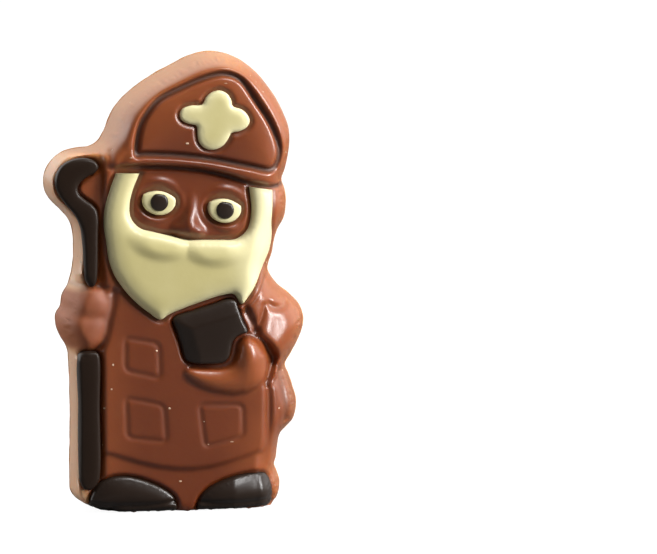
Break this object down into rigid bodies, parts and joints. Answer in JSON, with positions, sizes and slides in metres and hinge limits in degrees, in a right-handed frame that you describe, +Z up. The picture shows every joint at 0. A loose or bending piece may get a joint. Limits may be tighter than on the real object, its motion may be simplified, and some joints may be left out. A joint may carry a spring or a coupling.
{
  "type": "moulded chocolate figure",
  "caption": "Standing moulded chocolate figure of a bearded bishop with a tall hat, a hooked staff and a book, in milk, white and dark chocolate.",
  "frame": {"origin": "centre of the figure's bounding box, on the flat base it stands on", "axes": "+Z up the figure from the base to the top of the hat, -Y out of its front, +X to the right of a viewer facing it"},
  "size_m": [0.0735, 0.0312, 0.1276],
  "materials": {
    "milk_chocolate": "satin milk chocolate",
    "white_chocolate": "satin white chocolate",
    "dark_chocolate": "satin dark chocolate"
  },
  "bodies": {
    "root": {"milk_body": "milk_chocolate", "beard": "white_chocolate", "hat_cross": "white_chocolate", "crosier_crook": "dark_chocolate", "crosier_shaft": "dark_chocolate", "book": "dark_chocolate", "shoe_left": "dark_chocolate", "shoe_right": "dark_chocolate", "eye_left": "white_chocolate", "eye_right": "white_chocolate", "pupil_left": "dark_chocolate", "pupil_right": "dark_chocolate"}
  },
  "joints": []
}
